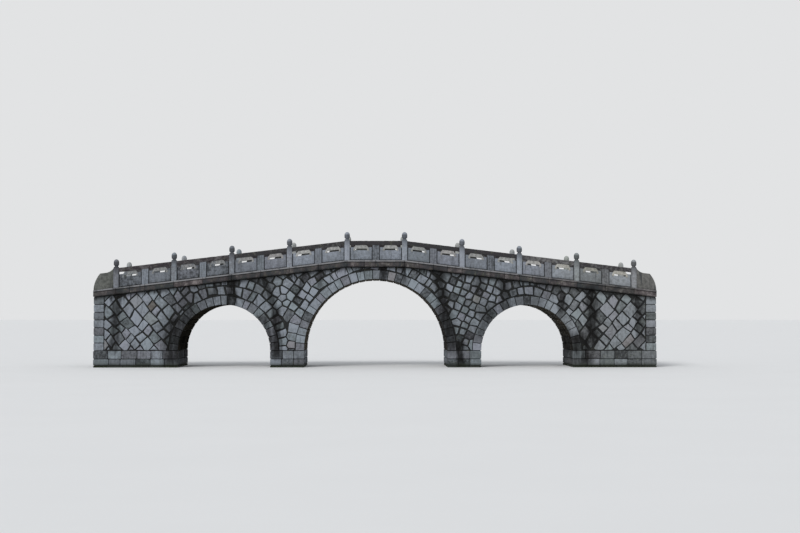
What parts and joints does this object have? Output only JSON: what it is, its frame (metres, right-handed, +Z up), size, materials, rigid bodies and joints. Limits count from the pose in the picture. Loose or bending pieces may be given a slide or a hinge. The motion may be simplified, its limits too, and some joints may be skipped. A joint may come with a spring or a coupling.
{
  "type": "three-arch stone footbridge",
  "caption": "Humped three-arch stone footbridge with rubble spandrels, ring arches, cornices and pierced panel balustrades.",
  "frame": {"origin": "bottom centre: water level, midway along and across the bridge", "axes": "+X along the bridge to the right as seen from the front face, +Y from the front face to the back, +Z up"},
  "size_m": [22.49, 3.36, 5.413],
  "materials": {
    "rubble_masonry": "split granite rubble with deep joints, water-stained",
    "ring_stone": "dressed granite voussoirs, weathered",
    "pier_stone": "squared granite courses, dark near the water",
    "fill": "rubble and mortar, out of sight",
    "paving": "worn granite flags",
    "cornice_stone": "dressed granite, stained brown-grey",
    "rail_stone": "dressed granite, dark with lichen",
    "panel_stone": "pale bluish granite slabs",
    "post_stone": "dressed granite, lichen-spotted"
  },
  "bodies": {
    "root": {"back_cornice": "cornice_stone", "back_handrails": "rail_stone", "back_left_wing_stone": "panel_stone", "back_panels": "panel_stone", "back_pilasters": "post_stone", "back_post_1": "post_stone", "back_post_10": "post_stone", "back_post_2": "post_stone", "back_post_3": "post_stone", "back_post_4": "post_stone", "back_post_5": "post_stone", "back_post_6": "post_stone", "back_post_7": "post_stone", "back_post_8": "post_stone", "back_post_9": "post_stone", "back_right_wing_stone": "panel_stone", "back_spandrel_wall": "rubble_masonry", "deck_paving": "paving", "front_cornice": "cornice_stone", "front_handrails": "rail_stone", "front_left_wing_stone": "panel_stone", "front_panels": "panel_stone", "front_pilasters": "post_stone", "front_post_1": "post_stone", "front_post_10": "post_stone", "front_post_2": "post_stone", "front_post_3": "post_stone", "front_post_4": "post_stone", "front_post_5": "post_stone", "front_post_6": "post_stone", "front_post_7": "post_stone", "front_post_8": "post_stone", "front_post_9": "post_stone", "front_right_wing_stone": "panel_stone", "front_spandrel_wall": "rubble_masonry", "left_abutment": "rubble_masonry", "left_arch": "ring_stone", "left_pier": "pier_stone", "middle_arch": "ring_stone", "right_abutment": "rubble_masonry", "right_arch": "ring_stone", "right_pier": "pier_stone", "rubble_fill": "fill"}
  },
  "joints": []
}
